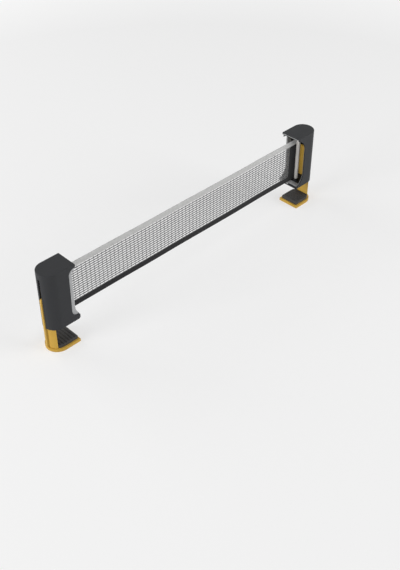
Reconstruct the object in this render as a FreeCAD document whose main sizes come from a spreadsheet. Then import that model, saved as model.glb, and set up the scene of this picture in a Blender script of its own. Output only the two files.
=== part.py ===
"""Retractable table tennis net held by two end posts, each with a sprung sliding jaw.

Millimetres. X runs along the net, Y across it and Z up. The origin is midway between the posts,
level with the undersides of the two jaws. Each post is drawn once, as the one at negative X;
the other is the same post turned half a turn about the Z axis.
"""

import FreeCAD, Part
import math
import os
import re

import Sketcher

SIZES = {
    "post_gap": 600.0,
    "post_depth": 63.2,
    "post_radius": 23.7,
    "post_height": 124.3,
    "wall": 2.2,
    "top_wall": 2.8,
    "base_wall": 2.5,
    "rim_gap": 0.4,
    "rim_fillet": 1.4,
    "fit_gap": 0.3,
    "seat_gap": 0.2,
    "running_gap": 0.06,
    "table_gap": 39.5,
    "foot_wall": 6.0,
    "foot_setback": 6.0,
    "foot_proud": 0.8,
    "grip_height": 7.0,
    "grip_inset": 3.2,
    "groove_width": 1.6,
    "groove_depth": 0.9,
    "groove_pitch": 6.5,
    "plate_wall": 2.8,
    "plate_headroom": 44.5,
    "fin_width": 4.9,
    "fin_proud": 1.9,
    "fin_drop": 10.0,
    "fin_foot_chamfer": 2.4,
    "rib_width": 2.2,
    "rib_reach": 3.7,
    "table_pad_wall": 1.0,
    "table_pad_inset": 2.2,
    "near_top_lip": 6.6,
    "near_bottom_lip": 11.5,
    "near_top_round": 12.4,
    "near_bottom_round": 14.0,
    "near_tip_round": 2.6,
    "near_heel_round": 4.5,
    "far_notch_depth": 22.0,
    "far_notch_round": 31.0,
    "far_top_drop": 35.0,
    "far_bottom_rise": 32.0,
    "liner_wall": 1.4,
    "liner_depth": 26.0,
    "liner_floor_depth": 16.0,
    "liner_recess": 0.6,
    "liner_edge_depth": 7.8,
    "liner_top_drop": 11.0,
    "liner_shoulder_drop": 20.5,
    "liner_hip_rise": 36.0,
    "liner_bottom_rise": 11.5,
    "liner_edge_top_round": 10.0,
    "liner_edge_bottom_round": 32.0,
    "liner_far_setback": 1.5,
    "liner_end_setback": 5.7,
    "boss_radius": 4.0,
    "boss_height": 11.0,
    "boss_bite": 0.5,
    "screw_angle": 73.0,
    "screw_radius": 1.4,
    "screw_length": 11.0,
    "screw_head_radius": 2.6,
    "screw_head_height": 1.5,
    "screw_recess_radius": 0.9,
    "spring_side": 6.0,
    "spring_radius": 2.1,
    "spring_wire": 0.6,
    "spring_turns": 20.0,
    "spring_plate_gap": 0.4,
    "spring_wall_gap": 0.6,
    "peg_radius": 1.1,
    "peg_height": 4.0,
    "lug_height": 5.5,
    "lug_clearance": 20.5,
    "spool_back": 28.0,
    "spool_radius": 7.0,
    "spool_wall": 1.2,
    "roll_wall": 1.0,
    "bush_flange_radius": 8.4,
    "bush_flange_wall": 1.6,
    "bush_plug_height": 8.0,
    "axle_radius": 1.5,
    "axle_boss_radius": 4.0,
    "axle_boss_height": 2.4,
    "axle_socket_depth": 1.2,
    "collar_radius": 4.4,
    "collar_height": 6.0,
    "collar_level": 18.0,
    "torsion_radius": 4.3,
    "torsion_wire": 0.9,
    "torsion_turns": 16.0,
    "rod_back": 24.0,
    "rod_side": 2.4,
    "rod_radius": 4.4,
    "rod_round": 1.0,
    "rod_slot_depth": 2.7,
    "net_bottom_gap": 2.4,
    "net_top_gap": 7.2,
    "top_tape_height": 12.3,
    "bottom_tape_height": 12.4,
    "tape_wall": 1.2,
    "mesh_wall": 0.8,
    "hem_wall": 1.0,
    "hem_lead": 1.3,
    "mesh_rows": 7.0,
    "mesh_columns": 42.0,
    "mesh_thread": 1.5,
}

doc = FreeCAD.newDocument("NetClamps")
sizes = doc.addObject("Spreadsheet::Sheet", "Sizes")
for row, (alias, value) in enumerate(SIZES.items(), start=1):
    sizes.set("A%d" % row, alias)
    sizes.set("B%d" % row, repr(value))
    sizes.setAlias("B%d" % row, alias)
doc.recompute()

# Places that several pieces share, as formulas of the sizes
MOUTH = "(post_gap / 2)"
OUTER = "(post_gap / 2 + post_depth)"
ROUND_X = "(post_gap / 2 + post_depth - post_radius)"
TABLE = "(foot_wall + grip_height + table_gap)"
RIM = "(%s + rim_gap)" % TABLE
BASE_BOTTOM = "(%s + table_pad_wall)" % TABLE
BASE_TOP = "(%s + table_pad_wall + base_wall)" % TABLE
ROOF = "(%s + post_height - top_wall)" % TABLE
TOP = "(%s + post_height)" % TABLE
INNER_RADIUS = "(post_radius - wall)"
SPRING_REACH = "(%s - spring_radius - spring_wall_gap)" % INNER_RADIUS
SPRING_X = "(%s + sqrt(%s ^ 2 - spring_side ^ 2))" % (ROUND_X, SPRING_REACH)
PLATE_OUT = "(%s - spring_radius - spring_plate_gap)" % SPRING_X
PLATE_IN = "(%s - plate_wall)" % PLATE_OUT
PLATE_TOP = "(%s - plate_headroom)" % ROOF
FIN_TOP = "(%s - fin_drop)" % PLATE_TOP
LUG_BOTTOM = "(%s + lug_clearance)" % BASE_TOP
LUG_TOP = "(%s + lug_height)" % LUG_BOTTOM
BOSS_REACH = "(%s - boss_radius + boss_bite)" % INNER_RADIUS
SCREW_X = "(%s + %s * cos(screw_angle))" % (ROUND_X, BOSS_REACH)
SCREW_Y = "(%s * sin(screw_angle))" % BOSS_REACH
SPOOL_X = "(%s + spool_back)" % MOUTH
ROLL_RADIUS = "(spool_radius + roll_wall)"
SPOOL_Y = "(%s + tape_wall / 2 + fit_gap)" % ROLL_RADIUS
ROD_X = "(%s + rod_back)" % MOUTH
AXLE_BOSS_TOP = "(%s + axle_boss_height)" % BASE_TOP
SPOOL_BOTTOM = "(%s + fit_gap + bush_flange_wall)" % AXLE_BOSS_TOP
ROOF_BOSS = "(%s - axle_boss_height)" % ROOF
SPOOL_TOP = "(%s - fit_gap - bush_flange_wall)" % ROOF_BOSS
NET_BOTTOM = "(%s + net_bottom_gap)" % SPOOL_BOTTOM
NET_TOP = "(%s - net_top_gap)" % SPOOL_TOP
MESH_BOTTOM = "(%s + bottom_tape_height)" % NET_BOTTOM
MESH_TOP = "(%s - top_tape_height)" % NET_TOP


def bound(text):
    """The text of a formula with each size's alias pointing at its cell."""
    return re.sub(
        r"[a-z][a-z_]+",
        lambda m: "Sizes." + m.group() if m.group() in SIZES else m.group(),
        text,
    )


def number(text):
    """The value of a formula of the sizes."""
    return float(sizes.evalExpression(text))


def tie(thing, path, text):
    """Binds one property of an object to a formula of the sizes."""
    thing.setExpression(path, bound(text))


def turned(thing, right):
    """Sets a finished piece at its own post: the right one is turned half a turn."""
    if right:
        thing.Placement = FreeCAD.Placement(
            FreeCAD.Vector(0, 0, 0), FreeCAD.Rotation(FreeCAD.Vector(0, 0, 1), 180)
        )
    return thing


def side_name(right, name):
    return ("right_" if right else "left_") + name


def new_body(label):
    made = doc.addObject("PartDesign::Body", label)
    made.Label = label
    return made


def new_sketch(body, name, role, level):
    """A sketch on one of the body's own origin planes, moved along the plane's normal."""
    sketch = body.newObject("Sketcher::SketchObject", name)
    plane = [f for f in body.Origin.OriginFeatures if f.Role == role][0]
    sketch.AttachmentSupport = [(plane, "")]
    sketch.MapMode = "FlatFace"
    tie(sketch, "AttachmentOffset.Base.z", level)
    return sketch


def datum(sketch, kind, text, *where):
    """One dimension of a sketch, bound to a formula of the sizes."""
    index = sketch.addConstraint(Sketcher.Constraint(kind, *where, number(text)))
    tie(sketch, "Constraints[%d]" % index, text)


def arc_between(start, end, radius, turn):
    """The arc of under half a circle from start to end, turning left (1) or right (-1)."""
    chord = end - start
    rise = math.sqrt(max(radius ** 2 - chord.Length ** 2 / 4, 0.0))
    normal = FreeCAD.Vector(-chord.y, chord.x, 0).normalize()
    centre = (start + end) / 2 + normal * rise * turn
    angles = [math.atan2(p.y - centre.y, p.x - centre.x) for p in (start, end)]
    if turn < 0:
        angles.reverse()
    if angles[1] < angles[0]:
        angles[1] += 2 * math.pi
    circle = Part.Circle(centre, FreeCAD.Vector(0, 0, 1), radius)
    return Part.ArcOfCircle(circle, angles[0], angles[1])


def add_outline(sketch, points):
    """A closed outline. Each point is (across, up) or, where an arc leads on to the next point,
    (across, up, radius, turn)."""
    places = [FreeCAD.Vector(number(p[0]), number(p[1]), 0) for p in points]
    edges = []
    for index, point in enumerate(points):
        start, end = places[index], places[(index + 1) % len(points)]
        if len(point) == 2:
            edges.append((sketch.addGeometry(Part.LineSegment(start, end)), 1, 2))
        else:
            arc = arc_between(start, end, number(point[2]), point[3])
            ends = (1, 2) if point[3] > 0 else (2, 1)
            edges.append((sketch.addGeometry(arc), *ends))
    for index, point in enumerate(points):
        edge, first, _ = edges[index]
        before, _, last = edges[index - 1]
        sketch.addConstraint(Sketcher.Constraint("Coincident", before, last, edge, first))
        datum(sketch, "DistanceX", point[0], -1, 1, edge, first)
        datum(sketch, "DistanceY", point[1], -1, 1, edge, first)
        if len(point) == 4:
            datum(sketch, "Radius", point[2], edge)


def add_circle(sketch, across, up, radius):
    centre = FreeCAD.Vector(number(across), number(up), 0)
    circle = Part.Circle(centre, FreeCAD.Vector(0, 0, 1), number(radius))
    edge = sketch.addGeometry(circle)
    datum(sketch, "DistanceX", across, -1, 1, edge, 3)
    datum(sketch, "DistanceY", up, -1, 1, edge, 3)
    datum(sketch, "Radius", radius, edge)


def rectangle(low_x, low_y, high_x, high_y):
    return [(low_x, low_y), (high_x, low_y), (high_x, high_y), (low_x, high_y)]


def pad(body, sketch, length):
    feature = body.newObject("PartDesign::Pad", sketch.Name + "Pad")
    feature.Profile = sketch
    tie(feature, "Length", length)
    doc.recompute()
    return feature


def pocket(body, sketch, length, against=False):
    """A pocket that must take material away: along the sketch's normal, or against it."""
    before = body.Shape.Volume
    feature = body.newObject("PartDesign::Pocket", sketch.Name + "Pocket")
    feature.Profile = sketch
    tie(feature, "Length", length)
    feature.Reversed = not against
    doc.recompute()
    if not body.Shape.Volume < before:
        raise RuntimeError("%s cuts nothing from %s" % (sketch.Name, body.Label))
    return feature


def chord(radius, across):
    """Half the width, at a given distance along X, of a round with the post's own centre."""
    return "sqrt((%s) ^ 2 - (%s - %s) ^ 2)" % (radius, across, ROUND_X)


def round_end(front, radius):
    """A straight-sided outline with a half-round outer end."""
    return [
        ("-(%s)" % front, "-(%s)" % radius),
        ("-(%s)" % front, radius),
        ("-%s" % ROUND_X, radius, radius, 1),
        ("-%s - %s" % (ROUND_X, radius), "0", radius, 1),
        ("-%s" % ROUND_X, "-(%s)" % radius),
    ]


def cut_round_end(front, back, radius):
    """The same outline with its round end cut off square."""
    half = chord(radius, back)
    return [
        ("-(%s)" % front, "-(%s)" % radius),
        ("-(%s)" % front, radius),
        ("-%s" % ROUND_X, radius, radius, 1),
        ("-(%s)" % back, half),
        ("-(%s)" % back, "-" + half, radius, 1),
        ("-%s" % ROUND_X, "-(%s)" % radius),
    ]


def mouth_x(depth):
    """A place in a side view of the post, given by its depth behind the mouth."""
    return "-%s - (%s)" % (MOUTH, depth)


def level_z(height):
    """A place in a side view of the post, given by its height over the table."""
    return "%s + (%s)" % (TABLE, height)


def under_top(depth):
    """A place in a side view of the post, given by its depth under the top."""
    return "%s - (%s)" % (TOP, depth)


CLEAR_OF_MOUTH = "-10"


def near_notch():
    """What is cut from the side wall whose notch ends in two rounded lips."""
    tip = "near_tip_round"
    upper = "near_top_lip"
    lower = "near_bottom_lip"
    upper_corner = "near_top_round"
    lower_corner = "near_bottom_round"
    return [
        (mouth_x(CLEAR_OF_MOUTH), under_top("%s - %s" % (upper, tip))),
        (mouth_x("0"), under_top("%s - %s" % (upper, tip)), tip, -1),
        (mouth_x(tip), under_top(upper), upper_corner, 1),
        (mouth_x("%s + %s" % (tip, upper_corner)), under_top("%s + %s" % (upper, upper_corner))),
        (mouth_x("%s + %s" % (tip, lower_corner)), level_z("%s + %s" % (lower, lower_corner)),
         lower_corner, 1),
        (mouth_x(tip), level_z(lower), tip, -1),
        (mouth_x("0"), level_z("%s - %s" % (lower, tip))),
        (mouth_x(CLEAR_OF_MOUTH), level_z("%s - %s" % (lower, tip))),
    ]


def near_heel():
    """What is cut from the outer corner under the lower lip."""
    foot = "rim_gap"
    top = "%s + near_heel_round" % foot
    return [
        (mouth_x(CLEAR_OF_MOUTH), level_z(foot + " - wall")),
        (mouth_x(CLEAR_OF_MOUTH), level_z(top)),
        (mouth_x("0"), level_z(top), "near_heel_round", -1),
        (mouth_x("near_heel_round"), level_z(foot)),
        (mouth_x("near_heel_round"), level_z(foot + " - wall")),
    ]


def far_notch(setback):
    """What is cut from the other side wall, whose deeper notch ends in sharp corners."""
    depth = "(far_notch_depth + %s)" % setback
    rise = "sqrt(far_notch_round ^ 2 - (far_notch_round - %s) ^ 2)" % depth
    high = "far_top_drop - " + rise
    low = "far_bottom_rise - " + rise
    return [
        (mouth_x(CLEAR_OF_MOUTH), under_top(high)),
        (mouth_x("0"), under_top(high), "far_notch_round", 1),
        (mouth_x(depth), under_top("far_top_drop")),
        (mouth_x(depth), level_z("far_bottom_rise"), "far_notch_round", 1),
        (mouth_x("0"), level_z(low)),
        (mouth_x(CLEAR_OF_MOUTH), level_z(low)),
    ]


def liner_notch(right):
    """The liner's own edge at the lipped wall, which stands out past the wall's notch."""
    depth = "(liner_edge_depth + liner_end_setback)" if right else "liner_edge_depth"
    upper = "liner_edge_top_round"
    lower = "liner_edge_bottom_round"
    return [
        (mouth_x(CLEAR_OF_MOUTH), under_top("liner_top_drop")),
        (mouth_x("liner_recess - fit_gap"), under_top("liner_top_drop"), upper, 1),
        (mouth_x(depth), under_top("liner_shoulder_drop")),
        (mouth_x(depth), level_z("liner_hip_rise"), lower, 1),
        (mouth_x("liner_recess - fit_gap"), level_z("liner_bottom_rise")),
        (mouth_x(CLEAR_OF_MOUTH), level_z("liner_bottom_rise")),
    ]


def top_rim_edges(feature):
    """The edges round the top face, apart from the straight one over the mouth."""
    top = number(TOP)
    mouth = -number(MOUTH)
    names = []
    for index, edge in enumerate(feature.Shape.Edges, start=1):
        on_top = all(abs(v.Z - top) < 1e-4 for v in edge.Vertexes)
        over_mouth = all(abs(v.X - mouth) < 1e-4 for v in edge.Vertexes)
        if on_top and not over_mouth:
            names.append("Edge%d" % index)
    return names


def fillet(body, feature, names, radius):
    rounded = body.newObject("PartDesign::Fillet", feature.Name + "Fillet")
    rounded.Base = (feature, names)
    tie(rounded, "Radius", radius)
    doc.recompute()
    return rounded


def axle_place(right):
    """Where a post's upright axle stands: the spool's at the left, the net rod's at the right."""
    if right:
        return "-" + ROD_X, "rod_side"
    return "-" + SPOOL_X, SPOOL_Y


def boss_ends(right):
    """The top of the base plate's boss and the underside of the roof's, which hold the axle."""
    if right:
        return "(%s - fit_gap)" % NET_BOTTOM, "(%s + fit_gap)" % NET_TOP
    return AXLE_BOSS_TOP, ROOF_BOSS


def case_shell(right):
    """The dark housing: side walls, round end and roof in one moulding, open to the net."""
    body = new_body(side_name(right, "case_shell"))

    outside = new_sketch(body, "Outside", "XY_Plane", RIM)
    add_outline(outside, round_end(MOUTH, "post_radius"))
    solid = pad(body, outside, "%s - %s" % (TOP, RIM))
    fillet(body, solid, top_rim_edges(solid), "rim_fillet")

    hollow = new_sketch(body, "Hollow", "XY_Plane", RIM)
    add_outline(hollow, round_end("%s - wall" % MOUTH, INNER_RADIUS))
    pocket(body, hollow, "%s - %s" % (ROOF, RIM))

    slot = new_sketch(body, "FinSlot", "XY_Plane", RIM)
    half_slot = "(fin_width / 2 + fit_gap)"
    slot_back = "-%s - wall" % OUTER
    add_outline(slot, rectangle(slot_back, "-" + half_slot, "-" + PLATE_IN, half_slot))
    pocket(body, slot, "%s + plate_headroom - %s" % (FIN_TOP, RIM))

    for name, profile, far in (
        ("NearNotch", near_notch(), False),
        ("NearHeel", near_heel(), False),
        ("FarNotch", far_notch("0"), True),
    ):
        notch = new_sketch(body, name, "XZ_Plane", "0")
        add_outline(notch, profile)
        pocket(body, notch, "2 * post_radius", against=far)

    ribs = new_sketch(body, "GuideRibs", "XY_Plane", BASE_TOP)
    rib_back = "-%s + fit_gap" % PLATE_IN
    rib_front = rib_back + " + rib_width"
    wall_end = chord("post_radius - wall / 2", "(%s - fit_gap - rib_width / 2)" % PLATE_IN)
    inner_end = "(%s - rib_reach)" % chord(INNER_RADIUS, "%s - fit_gap" % PLATE_IN)
    add_outline(ribs, rectangle(rib_back, inner_end, rib_front, wall_end))
    add_outline(ribs, rectangle(rib_back, "-" + wall_end, rib_front, "-" + inner_end))
    pad(body, ribs, "%s - %s" % (ROOF, BASE_TOP))

    bosses = new_sketch(body, "ScrewBosses", "XY_Plane", BASE_TOP)
    holes = new_sketch(body, "ScrewHoles", "XY_Plane", BASE_TOP)
    for sign in ("", "-"):
        add_circle(bosses, "-" + SCREW_X, sign + SCREW_Y, "boss_radius")
        add_circle(holes, "-" + SCREW_X, sign + SCREW_Y, "screw_radius")
    pad(body, bosses, "boss_height")
    pocket(body, holes, "screw_length - base_wall")

    pegs = new_sketch(body, "SpringPegs", "XY_Plane", "%s - peg_height" % ROOF)
    for sign in ("", "-"):
        add_circle(pegs, "-" + SPRING_X, sign + "spring_side", "peg_radius")
    pad(body, pegs, "peg_height + top_wall / 2")

    boss_low = boss_ends(right)[1]
    boss = new_sketch(body, "RoofBoss", "XY_Plane", boss_low)
    socket = new_sketch(body, "RoofSocket", "XY_Plane", boss_low)
    across, along = axle_place(right)
    add_circle(boss, across, along, "axle_boss_radius")
    add_circle(socket, across, along, "axle_radius")
    pad(body, boss, "%s + top_wall / 2 - %s" % (ROOF, boss_low))
    pocket(body, socket, "%s + axle_socket_depth - %s" % (ROOF, boss_low))
    return turned(body, right)


def base_plate(right):
    """The plate screwed in under the housing, with the lower seat of the axle or rod."""
    body = new_body(side_name(right, "base_plate"))
    flat = new_sketch(body, "Plate", "XY_Plane", BASE_BOTTOM)
    front = "%s + seat_gap" % MOUTH
    add_outline(
        flat, cut_round_end(front, PLATE_IN + " - 2 * fit_gap", INNER_RADIUS + " - seat_gap")
    )
    pad(body, flat, "base_wall")
    across, along = axle_place(right)
    boss_top = boss_ends(right)[0]
    boss = new_sketch(body, "AxleBoss", "XY_Plane", BASE_TOP + " - base_wall / 2")
    add_circle(boss, across, along, "axle_boss_radius")
    pad(body, boss, "%s - %s + base_wall / 2" % (boss_top, BASE_TOP))
    seat = new_sketch(body, "AxleSeat", "XY_Plane", BASE_BOTTOM)
    add_circle(seat, across, along, "axle_radius")
    for sign in ("", "-"):
        add_circle(seat, "-" + SCREW_X, sign + SCREW_Y, "screw_radius + seat_gap")
    pocket(body, seat, "%s - %s" % (boss_top, BASE_BOTTOM))
    sinks = new_sketch(body, "ScrewSinks", "XY_Plane", BASE_BOTTOM)
    for sign in ("", "-"):
        add_circle(sinks, "-" + SCREW_X, sign + SCREW_Y, "screw_head_radius + seat_gap")
    pocket(body, sinks, "screw_head_height + seat_gap")
    return turned(body, right)


def table_pad(right):
    """The thin rubber sheet under the base plate, which rests on the table top."""
    body = new_body(side_name(right, "table_pad"))
    sheet = new_sketch(body, "Sheet", "XY_Plane", TABLE)
    front = "%s + table_pad_inset" % MOUTH
    back = "(%s - screw_head_radius - table_pad_inset)" % SCREW_X
    add_outline(sheet, cut_round_end(front, back, INNER_RADIUS + " - table_pad_inset"))
    pad(body, sheet, "table_pad_wall")
    return turned(body, right)


def mouth_liner(right):
    """The pale sleeve inside the mouth, which stands out past the lipped wall's notch."""
    body = new_body(side_name(right, "mouth_liner"))
    outer = "(%s - seat_gap)" % INNER_RADIUS
    inner = "(%s - liner_wall)" % outer
    low = "(%s + seat_gap)" % BASE_TOP
    high = "(%s - seat_gap)" % ROOF
    sleeve = new_sketch(body, "Sleeve", "YZ_Plane", mouth_x("liner_depth"))
    add_outline(sleeve, rectangle("-" + outer, low, outer, high))
    add_outline(
        sleeve, rectangle("-" + inner, low + " + liner_wall", inner, high + " - liner_wall")
    )
    pad(body, sleeve, "liner_depth - liner_recess")

    relief = new_sketch(body, "FloorRelief", "XY_Plane", BASE_TOP)
    add_outline(
        relief,
        rectangle(
            mouth_x("liner_depth + wall"), "-" + inner, mouth_x("liner_floor_depth"), inner
        ),
    )
    pocket(body, relief, "%s - %s" % (ROOF, BASE_TOP))

    for name, profile, far in (
        ("NearEdge", liner_notch(right), False),
        ("FarEdge", far_notch("liner_far_setback"), True),
    ):
        edge = new_sketch(body, name, "XZ_Plane", "0")
        add_outline(edge, profile)
        pocket(body, edge, "post_radius", against=far)
    return turned(body, right)


def cylinder(name, radius, height, across, along, level):
    made = doc.addObject("Part::Cylinder", name)
    tie(made, "Radius", radius)
    tie(made, "Height", height)
    tie(made, "Placement.Base.x", across)
    tie(made, "Placement.Base.y", along)
    tie(made, "Placement.Base.z", level)
    return made


def cone(name, low_radius, high_radius, height, across, along, level):
    made = doc.addObject("Part::Cone", name)
    tie(made, "Radius1", low_radius)
    tie(made, "Radius2", high_radius)
    tie(made, "Height", height)
    tie(made, "Placement.Base.x", across)
    tie(made, "Placement.Base.y", along)
    tie(made, "Placement.Base.z", level)
    return made


def fused(name, *shapes):
    made = doc.addObject("Part::MultiFuse", name)
    made.Shapes = list(shapes)
    made.Refine = True
    doc.recompute()
    return made


def cut(name, base, tool):
    made = doc.addObject("Part::Cut", name)
    made.Base = base
    made.Tool = tool
    doc.recompute()
    return made


def grouped(name, shapes):
    """Separate solids that share one node."""
    made = doc.addObject("Part::Compound", name)
    made.Links = list(shapes)
    doc.recompute()
    return made


def base_screws(right):
    """Two countersunk screws that hold the base plate to the bosses in the housing."""
    name = side_name(right, "base_screws")
    screws = []
    for sign in ("", "-"):
        place = ("-" + SCREW_X, sign + SCREW_Y)
        head = cone(
            "ScrewHead", "screw_head_radius", "screw_radius", "screw_head_height",
            *place, BASE_BOTTOM,
        )
        shank = cylinder("ScrewShank", "screw_radius", "screw_length", *place, BASE_BOTTOM)
        whole = fused("Screw", head, shank)
        recess = cylinder(
            "ScrewRecess", "screw_recess_radius", "screw_head_height", *place,
            BASE_BOTTOM + " - seat_gap",
        )
        screws.append(cut("DrivenScrew", whole, recess))
    return turned(grouped(name, screws), right)


def sliding_jaw(right):
    """The yellow jaw: an upright plate bowed at its lower end, a thumb fin in the housing's slot,
    and a round foot."""
    body = new_body(side_name(right, "sliding_jaw"))
    foot = new_sketch(body, "Foot", "XY_Plane", "0")
    add_outline(foot, round_end("%s + foot_setback" % MOUTH, "(post_radius + foot_proud)"))
    pad(body, foot, "foot_wall")

    plate = new_sketch(body, "Plate", "XY_Plane", "foot_wall / 2")
    edge = "(%s - fit_gap)" % INNER_RADIUS
    wide = chord(edge, PLATE_IN)
    narrow = chord(edge, PLATE_OUT)
    add_outline(
        plate,
        [
            ("-" + PLATE_IN, "-" + wide),
            ("-" + PLATE_IN, wide, edge, 1),
            ("-" + PLATE_OUT, narrow),
            ("-" + PLATE_OUT, "-" + narrow, edge, 1),
        ],
    )
    pad(body, plate, PLATE_TOP + " - foot_wall / 2")

    bow = new_sketch(body, "Bow", "XY_Plane", "foot_wall / 2")
    bow_root = "(%s + plate_wall / 2)" % PLATE_IN
    bow_half = chord(edge, bow_root)
    add_outline(bow, [("-" + bow_root, bow_half, edge, 1), ("-" + bow_root, "-" + bow_half)])
    pad(body, bow, "%s + lug_height / 2 - foot_wall / 2" % LUG_BOTTOM)
    core = new_sketch(body, "BowCore", "XY_Plane", "foot_wall")
    core_edge = "(%s - plate_wall)" % edge
    core_half = chord(core_edge, PLATE_OUT)
    add_outline(
        core, [("-" + PLATE_OUT, core_half, core_edge, 1), ("-" + PLATE_OUT, "-" + core_half)]
    )
    pocket(body, core, LUG_TOP)

    fin = new_sketch(body, "Fin", "XZ_Plane", "-fin_width / 2")
    fin_edge = "-%s - fin_proud" % OUTER
    fin_root = "-%s - plate_wall / 2" % PLATE_IN
    chamfer = "fin_foot_chamfer"
    add_outline(
        fin,
        [
            (fin_root, "foot_wall / 2"),
            (fin_root, FIN_TOP),
            ("%s + fin_width / 2" % fin_edge, FIN_TOP, "fin_width / 2", 1),
            (fin_edge, FIN_TOP + " - fin_width / 2"),
            (fin_edge, "foot_wall + 2 * " + chamfer),
            ("%s + %s" % (fin_edge, chamfer), "foot_wall"),
            ("%s + %s" % (fin_edge, chamfer), "foot_wall / 2"),
        ],
    )
    pad(body, fin, "fin_width")

    lugs = new_sketch(body, "Lugs", "XY_Plane", LUG_BOTTOM)
    pegs = new_sketch(body, "LugPegs", "XY_Plane", LUG_TOP + " - lug_height / 2")
    lug_root = "-%s - plate_wall / 2" % PLATE_IN
    for sign in (1, -1):
        low, high = ("spring_side - spring_radius", "spring_side + spring_radius")
        if sign < 0:
            low, high = "-(%s)" % high, "-(%s)" % low
        middle = "%d * spring_side" % sign
        add_outline(
            lugs,
            [
                (lug_root, low),
                (lug_root, high),
                ("-" + SPRING_X, high, "spring_radius", 1),
                ("-%s - spring_radius" % SPRING_X, middle, "spring_radius", 1),
                ("-" + SPRING_X, low),
            ],
        )
        add_circle(pegs, "-" + SPRING_X, middle, "peg_radius")
    pad(body, lugs, "lug_height")
    pad(body, pegs, "lug_height / 2 + peg_height")
    return turned(body, right)


def grip_pad(right):
    """The rubber block on the foot that presses up against the table's underside."""
    body = new_body(side_name(right, "grip_pad"))
    block_sketch = new_sketch(body, "Block", "XY_Plane", "foot_wall")
    front = "(%s + foot_setback + grip_inset)" % MOUTH
    add_outline(
        block_sketch,
        cut_round_end(front, PLATE_IN + " - 2 * fit_gap", "post_radius - grip_inset"),
    )
    pad(body, block_sketch, "grip_height")
    grooves = new_sketch(body, "Grooves", "XY_Plane", "foot_wall + grip_height - groove_depth")
    count = int(number("(%s - %s - grip_inset) / groove_pitch" % (PLATE_IN, front)))
    for step in range(count):
        middle = "%s + %d * groove_pitch" % (front, step + 1)
        add_outline(
            grooves,
            rectangle(
                "-(%s) - groove_width / 2" % middle, "-post_radius",
                "-(%s) + groove_width / 2" % middle, "post_radius",
            ),
        )
    pocket(body, grooves, "2 * groove_depth")
    return turned(body, right)


def biarc(start, start_way, end, end_way):
    """Two arcs that join smoothly and lead from one place and direction to another."""
    across = end - start
    ways = start_way + end_way
    turn = 2 - 2 * start_way.dot(end_way)
    along = across.dot(ways)
    reach = (math.sqrt(along ** 2 + turn * across.dot(across)) - along) / turn
    joint = (start + start_way * reach + end - end_way * reach) / 2
    return [arc_leaving(start, start_way, joint), arc_leaving(end, end_way * -1, joint)]


def arc_leaving(start, way, end):
    """The arc that leaves its start in a given direction."""
    chord_line = end - start
    length = chord_line.Length
    side = way - chord_line * (way.dot(chord_line) / length ** 2)
    half_turn = math.asin(min(side.Length, 1.0))
    middle = (start + end) / 2 + side.normalize() * (length / 2 * math.tan(half_turn / 2))
    return Part.Arc(start, middle, end).toShape()


def coil_spring(name, across, along, low, high, radius, wire, turns):
    """A round-wire spring whose ends stand square on the faces that hold them."""
    middle_radius = number(radius) - number(wire) / 2
    thickness = number(wire)
    count = round(number(turns))
    centre = FreeCAD.Vector(number(across), number(along), 0)
    bottom, top = number(low), number(high)
    bend = 2 * thickness
    helix_low = bottom + thickness + bend
    rise = (top - thickness - bend - helix_low) / (count * 2 * math.pi)

    def place(angle):
        spoke = FreeCAD.Vector(math.cos(angle), math.sin(angle), 0) * middle_radius
        return centre + spoke + FreeCAD.Vector(0, 0, helix_low + rise * angle)

    def heading(angle):
        way = FreeCAD.Vector(-math.sin(angle) * middle_radius, math.cos(angle) * middle_radius, rise)
        return way.normalize()

    up = FreeCAD.Vector(0, 0, 1)
    quarter = math.pi / 2
    last = count * 2 * math.pi
    foot = place(0) - up * (thickness + bend)
    head = place(last) + up * (thickness + bend)
    edges = [Part.LineSegment(foot, foot + up * thickness).toShape()]
    edges += biarc(foot + up * thickness, up, place(quarter / 2), heading(quarter / 2))
    for step in range(4 * count - 1):
        start, end = (step + 0.5) * quarter, (step + 1.5) * quarter
        edges += biarc(place(start), heading(start), place(end), heading(end))
    edges += biarc(place(last - quarter / 2), heading(last - quarter / 2), head - up * thickness, up)
    edges.append(Part.LineSegment(head - up * thickness, head).toShape())

    path = Part.Wire(Part.__sortEdges__(edges))
    profile = Part.Wire(Part.Circle(foot, up, thickness / 2).toShape())
    spring = path.makePipeShell([profile], True, False)
    print("%s: least gap between its turns %.2f mm" % (name, turn_gap(path, thickness, bend)))
    return spring


def turn_gap(path, thickness, nearby):
    """The least gap of a wound wire to itself, measured between points along its path."""
    spacing = thickness / 2
    points = path.discretize(Distance=spacing)
    skipped = round((2 * math.pi * nearby) / spacing)
    closest = min(
        (points[i] - points[j]).Length
        for i in range(len(points))
        for j in range(i + skipped, min(i + 8 * skipped, len(points)))
    )
    return closest - thickness


def direct_shape(name, shape):
    made = doc.addObject("Part::Feature", name)
    made.Shape = shape
    return made


def jaw_springs(right):
    """Two stretched springs, held on pegs, that draw the jaw up against the table."""
    name = side_name(right, "jaw_springs")
    springs = [
        coil_spring(
            name, "-" + SPRING_X, sign + "spring_side", LUG_TOP + " + seat_gap", ROOF,
            "spring_radius", "spring_wire", "spring_turns",
        )
        for sign in ("", "-")
    ]
    return turned(direct_shape(name, Part.Compound(springs)), right)


def ring(body, name, outer, inner, low, height, across="-" + SPOOL_X, along=SPOOL_Y):
    """A tube padded upwards, on the spool's axis unless another is given."""
    sketch = new_sketch(body, name, "XY_Plane", low)
    add_circle(sketch, across, along, outer)
    if inner:
        add_circle(sketch, across, along, inner)
    return pad(body, sketch, height)


def spool_axle():
    """The fixed steel axle between the base plate and the boss under the roof."""
    body = new_body("spool_axle")
    height = "%s + axle_socket_depth - %s" % (ROOF, BASE_BOTTOM)
    ring(body, "Round", "axle_radius", None, BASE_BOTTOM, height)
    return body


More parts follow.
